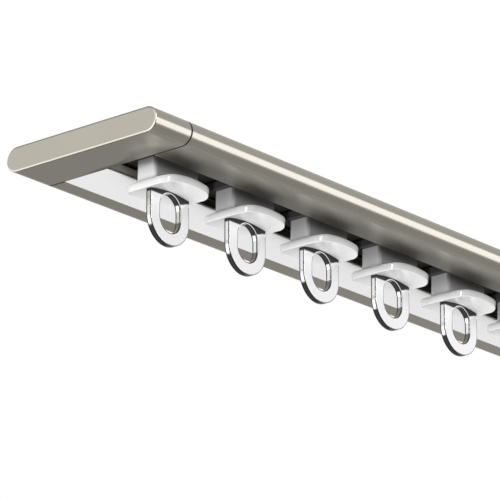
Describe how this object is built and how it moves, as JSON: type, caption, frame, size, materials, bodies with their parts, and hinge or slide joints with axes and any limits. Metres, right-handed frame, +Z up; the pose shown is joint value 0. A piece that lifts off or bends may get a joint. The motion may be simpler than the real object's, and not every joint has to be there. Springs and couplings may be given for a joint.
{
  "type": "curtain track",
  "caption": "Flat ceiling curtain track with full-round edges, end caps and white gliders that carry chromed eyelets in one slot.",
  "frame": {"origin": "on the top face, at mid-length, on the line of the two ceiling screws", "axes": "+X along the track away from the end nearest the camera, +Y across it to the wall behind the curtain, +Z up to the ceiling"},
  "size_m": [0.36, 0.045, 0.0226],
  "materials": {
    "track_metal": "satin",
    "cap_metal": "satin",
    "strip_plastic": "satin",
    "glider_plastic": "gloss",
    "eyelet_chrome": "mirror"
  },
  "bodies": {
    "track": {"track_profile": "track_metal", "cover_strip": "strip_plastic", "end_cap_left": "cap_metal", "end_cap_right": "cap_metal"},
    "glider_1": {"glider_1_body": "glider_plastic", "glider_1_eyelet": "eyelet_chrome"},
    "glider_2": {"glider_2_body": "glider_plastic", "glider_2_eyelet": "eyelet_chrome"},
    "glider_3": {"glider_3_body": "glider_plastic", "glider_3_eyelet": "eyelet_chrome"},
    "glider_4": {"glider_4_body": "glider_plastic", "glider_4_eyelet": "eyelet_chrome"},
    "glider_5": {"glider_5_body": "glider_plastic", "glider_5_eyelet": "eyelet_chrome"},
    "glider_6": {"glider_6_body": "glider_plastic", "glider_6_eyelet": "eyelet_chrome"},
    "glider_7": {"glider_7_body": "glider_plastic", "glider_7_eyelet": "eyelet_chrome"},
    "glider_8": {"glider_8_body": "glider_plastic", "glider_8_eyelet": "eyelet_chrome"}
  },
  "joints": [
    {"name": "glider_1_slide", "type": "slide", "parent": "track", "child": "glider_1", "axis": [1, 0, 0], "range_m": [-0.004, 0.058]},
    {"name": "glider_2_slide", "type": "slide", "parent": "glider_1", "child": "glider_2", "axis": [1, 0, 0], "range_m": [-0.0104, 0.01]},
    {"name": "glider_3_slide", "type": "slide", "parent": "glider_2", "child": "glider_3", "axis": [1, 0, 0], "range_m": [-0.0104, 0.01]},
    {"name": "glider_4_slide", "type": "slide", "parent": "glider_3", "child": "glider_4", "axis": [1, 0, 0], "range_m": [-0.0104, 0.01]},
    {"name": "glider_5_slide", "type": "slide", "parent": "glider_4", "child": "glider_5", "axis": [1, 0, 0], "range_m": [-0.0104, 0.01]},
    {"name": "glider_6_slide", "type": "slide", "parent": "glider_5", "child": "glider_6", "axis": [1, 0, 0], "range_m": [-0.0104, 0.01]},
    {"name": "glider_7_slide", "type": "slide", "parent": "glider_6", "child": "glider_7", "axis": [1, 0, 0], "range_m": [-0.0104, 0.01]},
    {"name": "glider_8_slide", "type": "slide", "parent": "glider_7", "child": "glider_8", "axis": [1, 0, 0], "range_m": [-0.0104, 0.01]}
  ]
}
